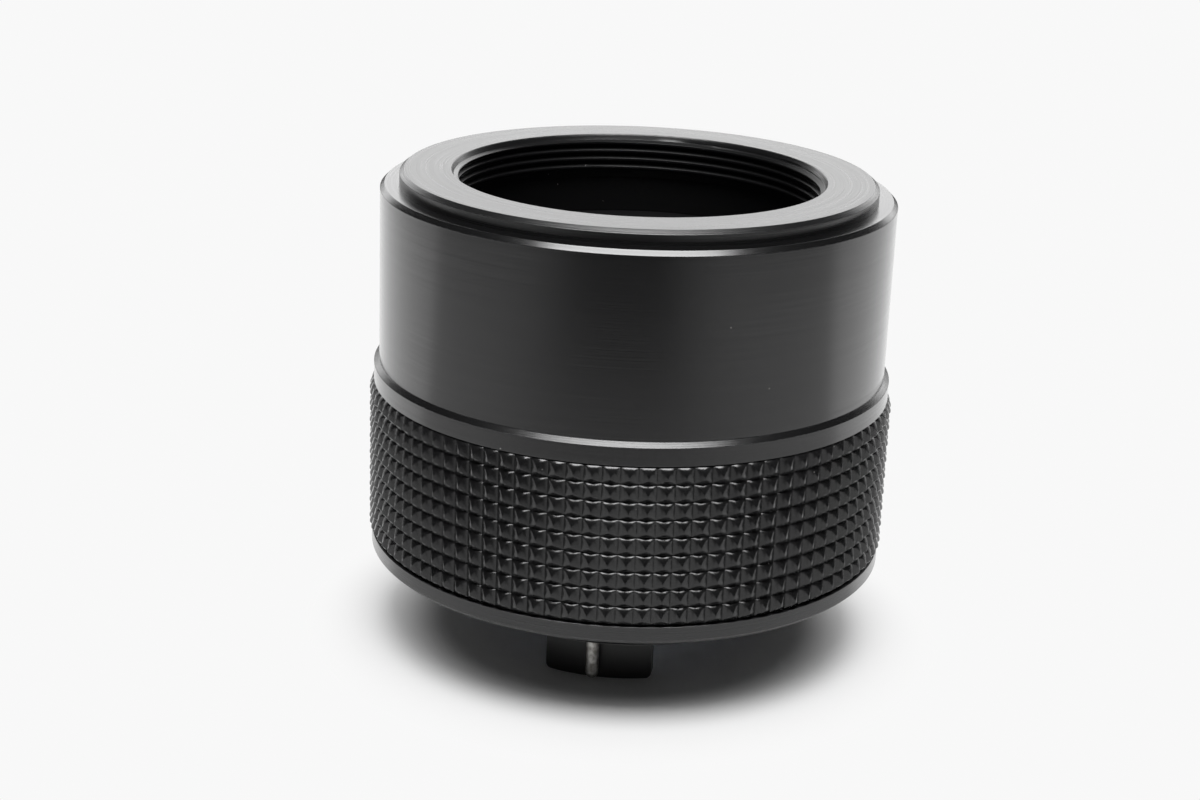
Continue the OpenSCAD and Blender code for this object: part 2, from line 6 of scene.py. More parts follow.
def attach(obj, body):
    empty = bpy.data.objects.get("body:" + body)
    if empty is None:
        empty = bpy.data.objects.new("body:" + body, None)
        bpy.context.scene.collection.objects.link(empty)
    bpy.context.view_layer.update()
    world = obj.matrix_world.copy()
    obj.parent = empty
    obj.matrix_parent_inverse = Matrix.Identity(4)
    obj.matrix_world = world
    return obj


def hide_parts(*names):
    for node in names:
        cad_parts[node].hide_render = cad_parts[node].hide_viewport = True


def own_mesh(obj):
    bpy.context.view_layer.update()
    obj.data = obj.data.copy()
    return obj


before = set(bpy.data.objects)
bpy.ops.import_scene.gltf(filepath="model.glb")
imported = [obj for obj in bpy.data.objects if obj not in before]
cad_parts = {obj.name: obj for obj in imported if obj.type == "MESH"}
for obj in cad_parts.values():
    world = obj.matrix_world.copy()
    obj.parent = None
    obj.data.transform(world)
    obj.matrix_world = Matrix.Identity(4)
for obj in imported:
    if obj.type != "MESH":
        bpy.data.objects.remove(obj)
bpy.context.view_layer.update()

# Lens cell: one turned aluminium tube with a flange at the lens end, which hangs from the front mount.
# It is anodised a dull black, so that no stray light gets past the glass.
MATT_COLOUR, MATT_SPECULAR = (0.007, 0.007, 0.0075), 0.14
DUST_COLOUR = (0.45, 0.44, 0.42)
BLACK_LAYER_IOR, THIN_LAYER_IOR = 1.55, 1.6
MARK_DEPTH = 0.00002


def surface(name, colour, roughness, metallic=0.0, ior=BLACK_LAYER_IOR):
    """Makes a material with one Principled shader and returns it with its tree, shader and coordinates."""
    material = bpy.data.materials.new(name)
    material.use_nodes = True
    tree = material.node_tree
    shader = tree.nodes["Principled BSDF"]
    shader.inputs["Base Color"].default_value = (*colour, 1.0)
    shader.inputs["Roughness"].default_value = roughness
    shader.inputs["Metallic"].default_value = metallic
    shader.inputs["IOR"].default_value = ior
    place = tree.nodes.new("ShaderNodeTexCoord").outputs["Object"]
    return material, tree, shader, place


def add(tree, kind, sockets=None, **settings):
    """Adds a node, sets its properties, and fills its sockets with plain values or links."""
    node = tree.nodes.new(kind)
    for key, value in settings.items():
        setattr(node, key, value)
    for key, value in (sockets or {}).items():
        if isinstance(value, bpy.types.NodeSocket):
            tree.links.new(value, node.inputs[key])
        else:
            node.inputs[key].default_value = value
    return node


def maths(tree, operation, first, second=0.0):
    """Works out one operation on one or two numbers in the node tree and returns the result's socket."""
    return add(tree, "ShaderNodeMath", {0: first, 1: second}, operation=operation).outputs[0]


def ranged(tree, value, source=(0.0, 1.0), target=(0.0, 1.0), blend="LINEAR"):
    """Carries a value from the source's range to the target's, held at both ends."""
    names = ("From Min", "From Max", "To Min", "To Max")
    sockets = {"Value": value, **dict(zip(names, (*source, *target)))}
    return add(tree, "ShaderNodeMapRange", sockets, interpolation_type=blend).outputs[0]


def noise(tree, place, scale, detail, roughness=0.5):
    """Cloudy noise over a place, with about scale clouds to each unit of it."""
    sockets = {"Vector": place, "Scale": scale, "Detail": detail, "Roughness": roughness}
    return add(tree, "ShaderNodeTexNoise", sockets).outputs["Fac"]


def tinted(tree, share, low, high):
    """Goes from a low colour to a high one by a share; each is a plain colour or a socket."""
    low, high = [(*colour, 1.0) if isinstance(colour, tuple) else colour for colour in (low, high)]
    return add(tree, "ShaderNodeMix", {"Factor": share, 6: low, 7: high}, data_type="RGBA").outputs[2]


def bumped(tree, shader, height, strength, depth):
    """Bends the shader's normal by a height, whose full range stands a depth in metres."""
    bump = add(tree, "ShaderNodeBump", {"Height": height, "Strength": strength, "Distance": depth})
    tree.links.new(bump.outputs[0], shader.inputs["Normal"])


def new_group(name, inputs, outputs):
    """Makes a shader node group with float or vector inputs and float outputs, and returns its two ends."""
    group = bpy.data.node_groups.new(name, "ShaderNodeTree")
    for key, kind, value in inputs:
        socket = group.interface.new_socket(key, in_out="INPUT", socket_type=kind)
        if value is not None:
            socket.default_value = value
    for key in outputs:
        group.interface.new_socket(key, in_out="OUTPUT", socket_type="NodeSocketFloat")
    start = group.nodes.new("NodeGroupInput")
    end = group.nodes.new("NodeGroupOutput")
    return group, start, end


def made_turning_group(drift=0.7, broad=0.13):
    """Lathe marks: noise over radius, height and a little of the angle, so that it streaks round the axis.

    drift is how much the marks change over a radian, and broad is the scale of the wide streaks."""
    group, start, end = new_group(
        "LatheMarks",
        [("Vector", "NodeSocketVector", None), ("Lines per metre", "NodeSocketFloat", 6000.0)],
        ["Height", "Streak"],
    )
    lines = start.outputs["Lines per metre"]
    x, y, z = add(group, "ShaderNodeSeparateXYZ", {0: start.outputs["Vector"]}).outputs
    flat = add(group, "ShaderNodeCombineXYZ", {0: x, 1: y})
    radius = add(group, "ShaderNodeVectorMath", {0: flat.outputs[0]}, operation="LENGTH")
    across = maths(group, "MULTIPLY", radius.outputs["Value"], lines)
    along = maths(group, "MULTIPLY", z, lines)
    turned = maths(group, "MULTIPLY", maths(group, "ARCTAN2", y, x), drift)
    grain = add(group, "ShaderNodeCombineXYZ", {0: across, 1: along, 2: turned}).outputs[0]
    group.links.new(noise(group, grain, 1.0, 3.0, 0.7), end.inputs["Height"])
    group.links.new(noise(group, grain, broad, 2.0), end.inputs["Streak"])
    return group


def made_dust_group(cells_per_metre=900.0):
    """Dust: small round dots in a few of the cells of a random point field."""
    group, start, end = new_group(
        "DustSpecks",
        [
            ("Vector", "NodeSocketVector", None),
            ("Share", "NodeSocketFloat", 0.1),
            ("Size", "NodeSocketFloat", 0.05),
        ],
        ["Mask"],
    )
    cells = add(group, "ShaderNodeTexVoronoi", {"Vector": start.outputs["Vector"], "Scale": cells_per_metre})
    pick = add(group, "ShaderNodeSeparateColor", {0: cells.outputs["Color"]})
    near = maths(group, "LESS_THAN", cells.outputs["Distance"], start.outputs["Size"])
    some = maths(group, "LESS_THAN", pick.outputs[0], start.outputs["Share"])
    group.links.new(maths(group, "MULTIPLY", near, some), end.inputs["Mask"])
    return group


lathe_marks = made_turning_group()
dust_specks = made_dust_group()


def turned_finish(
    name, colour, roughness, lines, groove, dust_share=0.05, spread=0.06, metallic=0.0, rub=None, dull=0.0
):
    """Turned metal: lathe marks in the tone, the roughness and the bump, a little dust, and paler worn edges.

    spread is how far the roughness swings over the marks, rub is the colour that worn edges show, and dull is
    how far the base metal shines through the black layer along the highest marks."""
    ior = THIN_LAYER_IOR if dull else BLACK_LAYER_IOR
    material, tree, shader, place = surface(name, colour, roughness, metallic, ior)
    marks = add(tree, "ShaderNodeGroup", {"Vector": place, "Lines per metre": lines}, node_tree=lathe_marks)
    dust = add(tree, "ShaderNodeGroup", {"Vector": place, "Share": dust_share}, node_tree=dust_specks)
    height = marks.outputs["Height"]
    darker, paler = [tuple(change * level for level in colour) for change in (0.75, 1.25)]
    shown = tinted(tree, marks.outputs["Streak"], darker, paler)
    if rub is not None:
        edge = add(tree, "ShaderNodeAttribute", attribute_name="edge").outputs["Fac"]
        worn = maths(tree, "MULTIPLY", edge, noise(tree, place, 1400.0, 3.0))
        shown = tinted(tree, ranged(tree, worn, (0.35, 0.7)), shown, rub)
    shown = tinted(tree, dust.outputs["Mask"], shown, DUST_COLOUR)
    tree.links.new(shown, shader.inputs["Base Color"])
    gloss = ranged(tree, height, target=(roughness - spread, roughness + spread))
    tree.links.new(gloss, shader.inputs["Roughness"])
    if dull:
        tree.links.new(ranged(tree, height, (0.35, 0.65), (0.0, dull)), shader.inputs["Metallic"])
    bumped(tree, shader, height, groove, MARK_DEPTH)
    return material


def dress(node, material):
    """Gives a carried-over CAD node one material."""
    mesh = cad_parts[node].data
    mesh.materials.clear()
    mesh.materials.append(material)


matt_black = turned_finish("MattBlackAnodised", MATT_COLOUR, 0.42, 5000.0, 0.4)
matt_black.node_tree.nodes["Principled BSDF"].inputs["Specular IOR Level"].default_value = MATT_SPECULAR
for node in ("lens_cell", "front_spacer", "rear_spacer", "front_retainer", "rear_retainer"):
    dress(node, matt_black)

# Glass: five polished elements, each held at its rim between spacers and a slotted retaining ring.
# The outer faces carry a thin blue-violet coating, which takes most of the shine off them.
GLASS_COLOUR, GLASS_COATING, GLASS_SHINE = (0.93, 0.95, 1.0), (0.62, 0.6, 1.0), 0.15

coated_glass, glass_tree, glass_shader, glass_place = surface("CoatedGlass", GLASS_COLOUR, 0.01, ior=1.52)
glass_shader.inputs["Transmission Weight"].default_value = 1.0
glass_shader.inputs["Specular IOR Level"].default_value = GLASS_SHINE
glass_shader.inputs["Specular Tint"].default_value = (*GLASS_COATING, 1.0)
glass_haze = noise(glass_tree, glass_place, 90.0, 3.0)
glass_gloss = ranged(glass_tree, glass_haze, target=(0.004, 0.03))
glass_tree.links.new(glass_gloss, glass_shader.inputs["Roughness"])
for node in ("front_crown", "front_flint", "middle_glass", "rear_meniscus", "rear_glass"):
    dress(node, coated_glass)

# Diaphragm plunger: a riveted steel push plate on two rods, the rear pin and its clip.
# The rods run in turned brass bushes, and the camera pushes the pin to close the lens down.
bush_brass = turned_finish("TurnedBrass", (0.62, 0.44, 0.17), 0.28, 9000.0, 0.4, metallic=1.0)
for node in ("rod_bush", "guide_bush", "pin_bush"):
    dress(node, bush_brass)

STEEL_COLOUR = (0.5, 0.49, 0.47)
STEEL_TONES = ((0.35, (0.2, 0.19, 0.175)), (0.65, (0.62, 0.61, 0.59)))

bright_steel, steel_tree, steel_shader, steel_place = surface("DullBrightSteel", STEEL_COLOUR, 0.38, 1.0)
steel_cloud = noise(steel_tree, steel_place, 1300.0, 5.0)
steel_tone = add(steel_tree, "ShaderNodeValToRGB", {"Fac": steel_cloud})
for stop, (position, tone) in zip(steel_tone.color_ramp.elements, STEEL_TONES):
    stop.position = position
    stop.color = (*tone, 1.0)
steel_tree.links.new(steel_tone.outputs["Color"], steel_shader.inputs["Base Color"])
steel_tree.links.new(ranged(steel_tree, steel_cloud, target=(0.5, 0.28)), steel_shader.inputs["Roughness"])
bumped(steel_tree, steel_shader, steel_cloud, 0.3, 0.00004)
for node in ("transfer_rod", "guide_rod", "aperture_pin", "spring_clip"):
    dress(node, bright_steel)
for node in ("lens_cell_screws", "rear_guard_screws"):
    dress(node, bright_steel)

black_steel = turned_finish("BlackenedSteel", (0.012, 0.012, 0.013), 0.4, 3000.0, 0.3)
for node in ("push_plate", "rear_mount_screws"):
    dress(node, black_steel)

# Return spring: eight turns of fine steel wire round the transfer rod, under the cell's flange.
# It is pressed between the flange and the rod's clip, and shortens as the pin is pushed in.
MILLI = 0.001
SPRING_LOW, SPRING_HIGH = 30.98, 43.38
SPRING_WIRE, SPRING_PLAY, ROD_R = 0.45, 0.06, 1.2
PIN_TURN, PIN_CIRCLE = np.radians(-9.3), 18.3


def joined(name, points, faces, marks=None):
    """Puts points in millimetres and faces of equal length into a new smooth mesh object at the origin.

    marks are extra values on the points, kept as mesh attributes."""
    mesh = bpy.data.meshes.new(name)
    mesh.vertices.add(len(points))
    mesh.vertices.foreach_set("co", (points * MILLI).astype(np.float32).ravel())
    mesh.loops.add(faces.size)
    mesh.loops.foreach_set("vertex_index", faces.astype(np.int32).ravel())
    mesh.polygons.add(len(faces))
    mesh.polygons.foreach_set("loop_start", np.arange(0, faces.size, faces.shape[1], dtype=np.int32))
    mesh.polygons.foreach_set("use_smooth", np.ones(len(faces), dtype=bool))
    for key, values in (marks or {}).items():
        attribute = mesh.attributes.new(key, "FLOAT", "POINT")
        attribute.data.foreach_set("value", values.astype(np.float32).ravel())
    mesh.update(calc_edges=True)
    mesh.validate()
    piece = bpy.data.objects.new(name, mesh)
    bpy.context.scene.collection.objects.link(piece)
    return piece


def skin(name, points, close_first=True, marks=None):
    """Joins a grid of points (first index, second index, xyz in millimetres) into one mesh of quads.

    A quad runs from (i, j) along the second index, then along the first. The second index wraps round to its
    start, and so does the first where it is closed."""
    first, second = points.shape[:2]
    index = np.arange(first * second).reshape(first, second)
    index = np.concatenate([index, index[:, :1]], axis=1)
    if close_first:
        index = np.concatenate([index, index[:1]], axis=0)
    quads = np.stack([index[:-1, :-1], index[:-1, 1:], index[1:, 1:], index[1:, :-1]], axis=-1)
    return joined(name, points.reshape(-1, 3), quads.reshape(-1, 4), marks)


def spring_wire(turns, steps, sides):
    """Carries a circle of wire along a helix of steady pitch, and closes both ends to the wire's middle."""
    share = np.linspace(0.0, 1.0, turns * steps + 1)
    low, high = SPRING_LOW + SPRING_WIRE / 2, SPRING_HIGH - SPRING_WIRE / 2
    z = low + (high - low) * share
    angle = 2 * np.pi * turns * share
    middle = ROD_R + SPRING_PLAY + SPRING_WIRE
    round_wire = np.linspace(0.0, 2 * np.pi, sides, endpoint=False)
    out = middle + SPRING_WIRE / 2 * np.cos(round_wire)
    up = SPRING_WIRE / 2 * np.sin(round_wire)
    x = PIN_CIRCLE * np.sin(PIN_TURN) + np.outer(np.cos(angle), out)
    y = -PIN_CIRCLE * np.cos(PIN_TURN) + np.outer(np.sin(angle), out)
    tube = np.stack([x, y, z[:, None] + up[None, :]], axis=-1)
    caps = tube[[0, -1]].mean(axis=1, keepdims=True).repeat(sides, axis=1)
    return np.concatenate([caps[:1], tube, caps[1:]], axis=0)


spring = skin("return_spring_wire", spring_wire(turns=8, steps=28, sides=10)[::-1], close_first=False)
spring.data.materials.append(bright_steel)
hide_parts("return_spring")
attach(spring, "housing")
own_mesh(spring)

# Front mount: a turned aluminium ring with the raised seat for the lens and the female lens thread.
# It is anodised satin black, matt in the bore. It drops into the barrel's web and carries the cell's flange.
THREAD_R, THREAD_PITCH, THREAD_DEPTH, THREAD_FLANKS = 21.0, 1.0, 0.541, 0.625
TOP_Z, SHOULDER_Z, LEDGE_Z = 54.98, 53.38, 45.38
LENS_WALL_R, RELIEF_R = THREAD_R - THREAD_DEPTH, THREAD_R + 0.4
SPIGOT_R, SEAT_R, SEAT_FLAT_R, SEAT_CHAMFER = RELIEF_R + 3.0, 27.05, 26.52, 0.42
LENS_THREAD_LOW, LENS_THREAD_TOP, LENS_THREAD_ROWS, LENS_CREST = 50.58, 54.18, 70, 0.25
LENS_CUT_R, LENS_CUT_Z = 21.2, LENS_THREAD_LOW - 0.3
LEAD_IN, LEAD_FOOT_R, LEAD_FOOT_Z = 0.8, 20.97, LENS_THREAD_TOP + 0.2
RELIEF_Z = LENS_THREAD_LOW - (RELIEF_R - LENS_WALL_R)
BORE_R, BORE_Z = RELIEF_R + 0.02, TOP_Z - 0.75
AROUND = 320


def soften(corners, radii, steps=4):
    """Rounds each corner of a closed profile, listed anticlockwise in radius and height.

    A corner becomes an arc between its two sides, with one more point on each side at a radius's distance.
    Returns the points and a mark that is 1 on outward arcs, -1 on inward ones and 0 on the flats."""
    corner = np.asarray(corners, float)
    radius = np.broadcast_to(np.asarray(radii, float), len(corner))[:, None]
    back = np.roll(corner, 1, axis=0) - corner
    ahead = np.roll(corner, -1, axis=0) - corner
    back /= np.linalg.norm(back, axis=1, keepdims=True)
    ahead /= np.linalg.norm(ahead, axis=1, keepdims=True)
    inward = (back + ahead) / np.linalg.norm(back + ahead, axis=1, keepdims=True)
    opening = np.arccos(np.clip((back * ahead).sum(axis=1, keepdims=True), -1, 1))
    cut = radius / np.tan(opening / 2)
    centre = corner + inward * radius / np.sin(opening / 2)
    start = ((corner + back * cut - centre) / radius)[:, None]
    end = ((corner + ahead * cut - centre) / radius)[:, None]
    sweep = (np.pi - opening)[:, None]
    share = np.linspace(0.0, 1.0, steps + 1)[None, :, None]
    arc = (np.sin((1 - share) * sweep) * start + np.sin(share * sweep) * end) / np.sin(sweep)
    arc = centre[:, None] + radius[:, None] * arc
    before = (corner + back * (cut + radius))[:, None]
    after = (corner + ahead * (cut + radius))[:, None]
    turn = np.sign(ahead[:, 0] * back[:, 1] - ahead[:, 1] * back[:, 0])
    mark = np.concatenate([[0.0], np.ones(steps + 1), [0.0]])[None, :] * turn[:, None]
    return np.concatenate([before, arc, after], axis=1).reshape(-1, 2), mark.reshape(-1)


def fill_wall(profile, mark, radius, rows):
    """Adds evenly spaced points between the two profile points that bound the long wall at a radius."""
    on_wall = np.flatnonzero(np.abs(profile[:, 0] - radius) < 1e-6)
    lengths = np.abs(np.diff(profile[on_wall, 1]))
    first = on_wall[np.argmax(lengths)]
    share = np.linspace(0.0, 1.0, rows + 2)[1:-1, None]
    extra = profile[first] + share * (profile[first + 1] - profile[first])
    return np.insert(profile, first + 1, extra, axis=0), np.insert(mark, first + 1, np.zeros(rows))


def lathe(name, profile, mark, cut=None):
    """Carries a profile of (radius, height) once round the axis, from the front towards +X.

    cut is a function of radius, height and angle that gives the final radius, for a thread."""
    angle = np.linspace(0.0, 2 * np.pi, AROUND, endpoint=False)[None, :]
    radius, z = profile[:, :1], np.broadcast_to(profile[:, 1:], (len(profile), AROUND))
    radius = np.broadcast_to(radius, z.shape) if cut is None else cut(radius, z, angle)
    points = np.stack([radius * np.sin(angle), -radius * np.cos(angle), z], axis=-1)
    return skin(name, points, marks={"edge": np.repeat(np.clip(mark, 0, 1), AROUND)})


def thread_wave(z, angle, crest):
    """Depth of a right-hand 60 degree thread, 0 on its crest and 1 in its root.

    It is a flat-topped wave in height less angle; crest is the flat crest's share of the pitch."""
    phase = z / THREAD_PITCH - angle / (2 * np.pi)
    climb = np.abs(2 * (phase - np.floor(phase)) - 1)
    return np.clip((climb - crest) / THREAD_FLANKS, 0.0, 1.0)


def lens_thread(radius, z, angle):
    """The bore at its crests, with the groove cut outwards, from the relief to under the lead-in."""
    groove = LENS_WALL_R + THREAD_DEPTH * thread_wave(z, angle, LENS_CREST)
    wall = (radius < LENS_CUT_R) & (z > LENS_CUT_Z)
    return np.where(wall, np.maximum(radius, groove), radius)


front_profile, front_mark = soften(
    [
        (RELIEF_R, LEDGE_Z), (SPIGOT_R, LEDGE_Z), (SPIGOT_R, SHOULDER_Z), (SEAT_R, SHOULDER_Z),
        (SEAT_R, TOP_Z - SEAT_CHAMFER), (SEAT_FLAT_R, TOP_Z), (LENS_WALL_R + LEAD_IN, TOP_Z),
        (LEAD_FOOT_R, LEAD_FOOT_Z), (LENS_WALL_R, LENS_THREAD_TOP), (LENS_WALL_R, LENS_THREAD_LOW),
        (RELIEF_R, RELIEF_Z),
    ],
    [0.05, 0.05, 0.05, 0.02, 0.06, 0.06, 0.14, 0.03, 0.03, 0.03, 0.1],
)
front_profile, front_mark = fill_wall(front_profile, front_mark, LENS_WALL_R, LENS_THREAD_ROWS)
front_mount = lathe("front_mount_ring", front_profile, front_mark, lens_thread)
black_mount = turned_finish(
    "SatinBlackMount", (0.010, 0.010, 0.0105), 0.29, 5000.0, 0.5,
    spread=0.09, rub=(0.06, 0.06, 0.062), dull=0.13,
)
front_mount.data.materials.append(black_mount)
front_mount.data.materials.append(matt_black)
face_middle = np.empty(3 * len(front_mount.data.polygons))
front_mount.data.polygons.foreach_get("center", face_middle)
face_middle = face_middle.reshape(-1, 3) / MILLI
in_bore = (np.hypot(face_middle[:, 0], face_middle[:, 1]) < BORE_R) & (face_middle[:, 2] < BORE_Z)
front_mount.data.polygons.foreach_set("material_index", in_bore.astype(np.int32))
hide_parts("front_mount")
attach(front_mount, "housing")

# Barrel: the smooth aluminium sleeve, turned in one piece with the skirt inside the grip and anodised black.
# Its front edge has a bright-cut chamfer, and fine lathe marks run round it.
SKIRT_R, SKIRT_WALL, SKIRT_LOW, SKIRT_HIGH = 27.94, 1.6, 12.45, 33.08
SLEEVE_R, SLEEVE_WALL, SLEEVE_CHAMFER = 29.2, 1.8, 0.5
WEB_THICKNESS, FOOT_HEIGHT, REAR_SPIGOT_R = 2.4, 3.4, RELIEF_R + 1.5
SLIP_FIT, EDGE_R = 0.03, 0.05
SKIRT_BORE_R, SLEEVE_BORE_R = SKIRT_R - SKIRT_WALL, SLEEVE_R - SLEEVE_WALL
WEB_BORE_R, FOOT_BORE_R = SPIGOT_R + SLIP_FIT, REAR_SPIGOT_R + SLIP_FIT
WEB_Z, SLEEVE_FLOOR, FOOT_TOP = SHOULDER_Z - WEB_THICKNESS, SKIRT_HIGH + SLEEVE_WALL, SKIRT_LOW + FOOT_HEIGHT

barrel_profile, barrel_mark = soften(
    [
        (FOOT_BORE_R, SKIRT_LOW), (SKIRT_R, SKIRT_LOW), (SKIRT_R, SKIRT_HIGH), (SLEEVE_R, SKIRT_HIGH),
        (SLEEVE_R, SHOULDER_Z - SLEEVE_CHAMFER), (SLEEVE_R - SLEEVE_CHAMFER, SHOULDER_Z),
        (WEB_BORE_R, SHOULDER_Z), (WEB_BORE_R, WEB_Z), (SLEEVE_BORE_R, WEB_Z), (SLEEVE_BORE_R, SLEEVE_FLOOR),
        (SKIRT_BORE_R, SLEEVE_FLOOR), (SKIRT_BORE_R, FOOT_TOP), (FOOT_BORE_R, FOOT_TOP),
    ],
    EDGE_R,
)
barrel = lathe("barrel_sleeve", barrel_profile, barrel_mark)
black_anodised = turned_finish(
    "SatinBlackAnodised", (0.007, 0.007, 0.0074), 0.22, 5000.0, 0.5,
    dust_share=0.04, spread=0.08, rub=(0.05, 0.05, 0.052), dull=0.13,
)
barrel.data.materials.append(black_anodised)
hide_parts("barrel")
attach(barrel, "housing")

# Grip ring: an aluminium ring slid over the skirt, with a bevel and a plain band above the rubber's channel.
# It has the barrel's own satin black finish.
RING_BORE_R = SKIRT_R + SLIP_FIT
CHANNEL_R, CHANNEL_TOP, BAND_R, BAND_TOP = 28.87, 30.55, 29.8, 32.6

ring_profile, ring_mark = soften(
    [
        (RING_BORE_R, SKIRT_LOW), (CHANNEL_R, SKIRT_LOW), (CHANNEL_R, CHANNEL_TOP), (BAND_R, CHANNEL_TOP),
        (BAND_R, BAND_TOP), (SLEEVE_R, SKIRT_HIGH), (RING_BORE_R, SKIRT_HIGH),
    ],
    EDGE_R,
)
grip_ring = lathe("grip_ring_band", ring_profile, ring_mark)
grip_ring.data.materials.append(black_anodised)
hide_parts("grip_ring")
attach(grip_ring, "housing")

# Grip rubber: a moulded strip of 96 columns and 9 rows of blunt pyramids, stretched a little unevenly into
# its channel. Each is a low hipped roof with a short upright ridge, a steep foot in the groove above it and a
# rounded lower side, and the grooves meet in small pits.
GRIP_COLUMNS, GRIP_ROWS = 96, 9
GRIP_TURN, GRIP_STRETCH = np.radians(0.7), 0.048
GRIP_LOW, GRIP_HIGH = 12.57, 30.43
GRIP_VALLEY_R, GRIP_BORE_R = 29.67, 28.9
GRIP_PIT, GRIP_PIT_ACROSS, GRIP_PIT_UP = -0.1, 0.6, 0.88
GRIP_FOOT = ((0.48, -0.5, 0.325), (0.48, 0.7, 0.325), (0.44, 0.736, 0.325), (0.2, -0.625, 0.325))
GRIP_RIDGE = ((0.045, -0.27, 0.6), (0.045, 0.02, 0.6), (0.02, 0.05, 0.6), (0.02, -0.33, 0.6))
GRIP_TIP = (0.0, -0.16, 0.62)
GRIP_CREASE = np.radians(24)


def pyramid_points():
    """Points of one pyramid over a square from -1 to 1: (across, up, height in mm).

    The foot and the ridge are given for the right half and mirrored, as two rings of eight points."""
    right = np.array([GRIP_FOOT, GRIP_RIDGE])
    left = right * (-1, 1, 1)
    rings = np.concatenate([right[:, :3], left[:, [2, 1, 0, 3]], right[:, 3:]], axis=1)
    return np.concatenate([rings.reshape(-1, 3), [GRIP_TIP]])


def pyramid_faces():
    """Triangles of one pyramid, with its outline's twelve points numbered first, from the lower right corner.

    They are the flanks, the steep foot above and below, the corners by the pits, and the ridged top."""
    flanks = [(1, 2, 13), (1, 13, 12), (7, 8, 17), (7, 17, 16)]
    foot = [(4, 5, 15), (4, 15, 14), (10, 11, 19), (10, 19, 18)]
    high = [(2, 14, 13), (2, 3, 14), (3, 4, 14), (5, 6, 15), (6, 7, 15), (7, 16, 15)]
    low = [(8, 9, 17), (9, 10, 17), (10, 18, 17), (11, 12, 19), (11, 0, 12), (0, 1, 12)]
    ring = 12 + np.arange(16).reshape(2, 8)
    beside = np.roll(ring, -1, axis=1)
    upper = np.concatenate([
        np.stack([ring[0], beside[0], beside[1]], -1),
        np.stack([ring[0], beside[1], ring[1]], -1),
        np.stack([ring[1], beside[1], np.full(8, 28)], -1),
    ])
    return np.concatenate([flanks, foot, high, low, upper])


def grip_grid(up, across, height):
    """A grid of points (across, up, height), one at the same place of every column for each level."""
    levels, places = np.meshgrid(up, np.arange(GRIP_COLUMNS) + across, indexing="ij")
    return np.stack([places, levels, np.full(levels.shape, height)], axis=-1)


def wrapped(flat):
    """Lays points (columns across, rows up, height in mm) round the axis.

    The angle grows with the columns, a little faster on the +X side, where the rubber is stretched."""
    turn = flat[:, 0] * 2 * np.pi / GRIP_COLUMNS
    angle = GRIP_TURN + turn + GRIP_STRETCH * (1 - np.cos(turn))
    radius = GRIP_VALLEY_R + flat[:, 2]
    z = GRIP_LOW + flat[:, 1] * (GRIP_HIGH - GRIP_LOW) / GRIP_ROWS
    return np.stack([radius * np.sin(angle), -radius * np.cos(angle), z], axis=-1)


def grip_strip():
    """Repeats the pyramid over columns and rows with the grooves' points shared, and folds both ends inwards.

    The grooves meet in small pits, and each end is a ring of three points for each column."""
    line, row, ends = np.arange(GRIP_ROWS + 1), np.arange(GRIP_ROWS) + 0.5, np.array([0, GRIP_ROWS])
    bore = GRIP_BORE_R - GRIP_VALLEY_R
    shared = [
        grip_grid(line, -0.5, GRIP_PIT),
        grip_grid(line, -GRIP_PIT_ACROSS / 2, 0.0),
        grip_grid(line, GRIP_PIT_ACROSS / 2, 0.0),
        grip_grid(row - GRIP_PIT_UP / 2, -0.5, 0.0),
        grip_grid(row + GRIP_PIT_UP / 2, -0.5, 0.0),
        grip_grid(ends, -0.5, bore),
        grip_grid(ends, -GRIP_PIT_ACROSS / 2, bore),
        grip_grid(ends, GRIP_PIT_ACROSS / 2, bore),
    ]
    counts = [len(points) * GRIP_COLUMNS for points in shared]
    firsts = np.concatenate([[0], np.cumsum(counts)])
    index = [first + np.arange(count).reshape(-1, GRIP_COLUMNS) for first, count in zip(firsts, counts)]
    pit, left, right, low, high = index[:5]
    next_pit, next_low, next_high = [np.roll(points, -1, axis=1) for points in (pit, low, high)]
    outline = np.stack([
        next_pit[:-1], next_low, next_high, next_pit[1:], right[1:], left[1:],
        pit[1:], high, low, pit[:-1], left[:-1], right[:-1],
    ], axis=-1).reshape(-1, 12)
    own = pyramid_points()
    in_row, in_column = np.divmod(np.arange(len(outline)), GRIP_COLUMNS)
    across = in_column[:, None] + own[:, 0] / 2
    up = in_row[:, None] + 0.5 + own[:, 1] / 2
    inner_points = np.stack([across, up, np.broadcast_to(own[:, 2], up.shape)], axis=-1)
    inner = firsts[-1] + np.arange(up.size).reshape(up.shape)
    faces = np.concatenate([outline, inner], axis=1)[:, pyramid_faces()].reshape(-1, 3)
    outer = np.stack([pit[[0, -1]], left[[0, -1]], right[[0, -1]]], axis=-1).reshape(2, -1)
    inside = np.stack(index[5:], axis=-1).reshape(2, -1)
    start = np.stack([inside[0], outer[1], inside[1]])
    stop = np.stack([outer[0], inside[1], inside[0]])
    fold = np.stack([start, np.roll(start, -1, axis=1), np.roll(stop, -1, axis=1), stop], axis=-1)
    fold = fold.reshape(-1, 4)
    faces = np.concatenate([faces, fold[:, [0, 1, 2]], fold[:, [0, 2, 3]]])
    flat = np.concatenate([points.reshape(-1, 3) for points in shared + [inner_points]])
    return wrapped(flat), faces


grip_rubber = joined("grip_rubber_strip", *grip_strip())
grip_rubber.data.set_sharp_from_angle(angle=GRIP_CREASE)

RUBBER_COLOUR, RUBBER_DUST = (0.011, 0.011, 0.0115), (0.3, 0.29, 0.28)
RUBBER_DARK, RUBBER_PALE = (0.008, 0.008, 0.0084), (0.012, 0.012, 0.0124)

